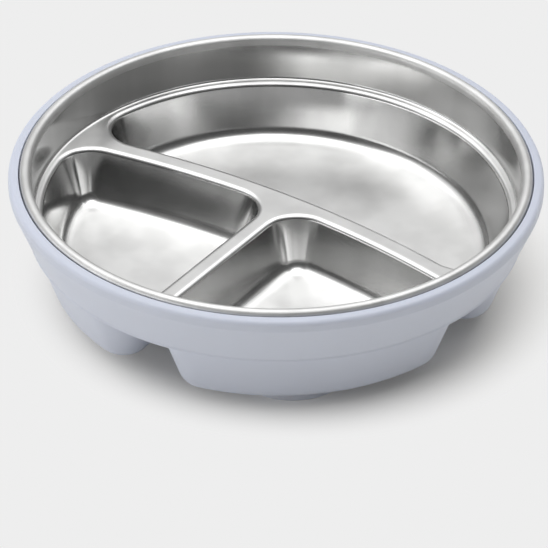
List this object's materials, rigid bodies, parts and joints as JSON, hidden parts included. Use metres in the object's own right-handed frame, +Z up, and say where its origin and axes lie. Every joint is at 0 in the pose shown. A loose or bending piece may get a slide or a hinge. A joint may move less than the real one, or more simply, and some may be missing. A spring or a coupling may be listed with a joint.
{
  "type": "baby suction plate",
  "caption": "Round divided plate for a baby: a pressed steel dish with three compartments and a rolled rim, seated in a pale moulded shell on translucent suction cups.",
  "frame": {"origin": "on the table, under the middle of the plate", "axes": "+Z up out of the bowl; +Y towards the large compartment; +X towards the right small compartment, seen from above"},
  "size_m": [0.208, 0.208, 0.0547],
  "materials": {
    "steel": "satin drawn stainless steel with a bright rolled rim",
    "shell": "pale grey-blue moulded plastic, satin",
    "cup": "soft milky translucent silicone"
  },
  "bodies": {
    "root": {"steel_plate": "steel", "outer_shell": "shell", "suction_cup_front_left": "cup", "suction_cup_front_right": "cup", "suction_cup_rear_left": "cup", "suction_cup_rear_right": "cup"}
  },
  "joints": []
}
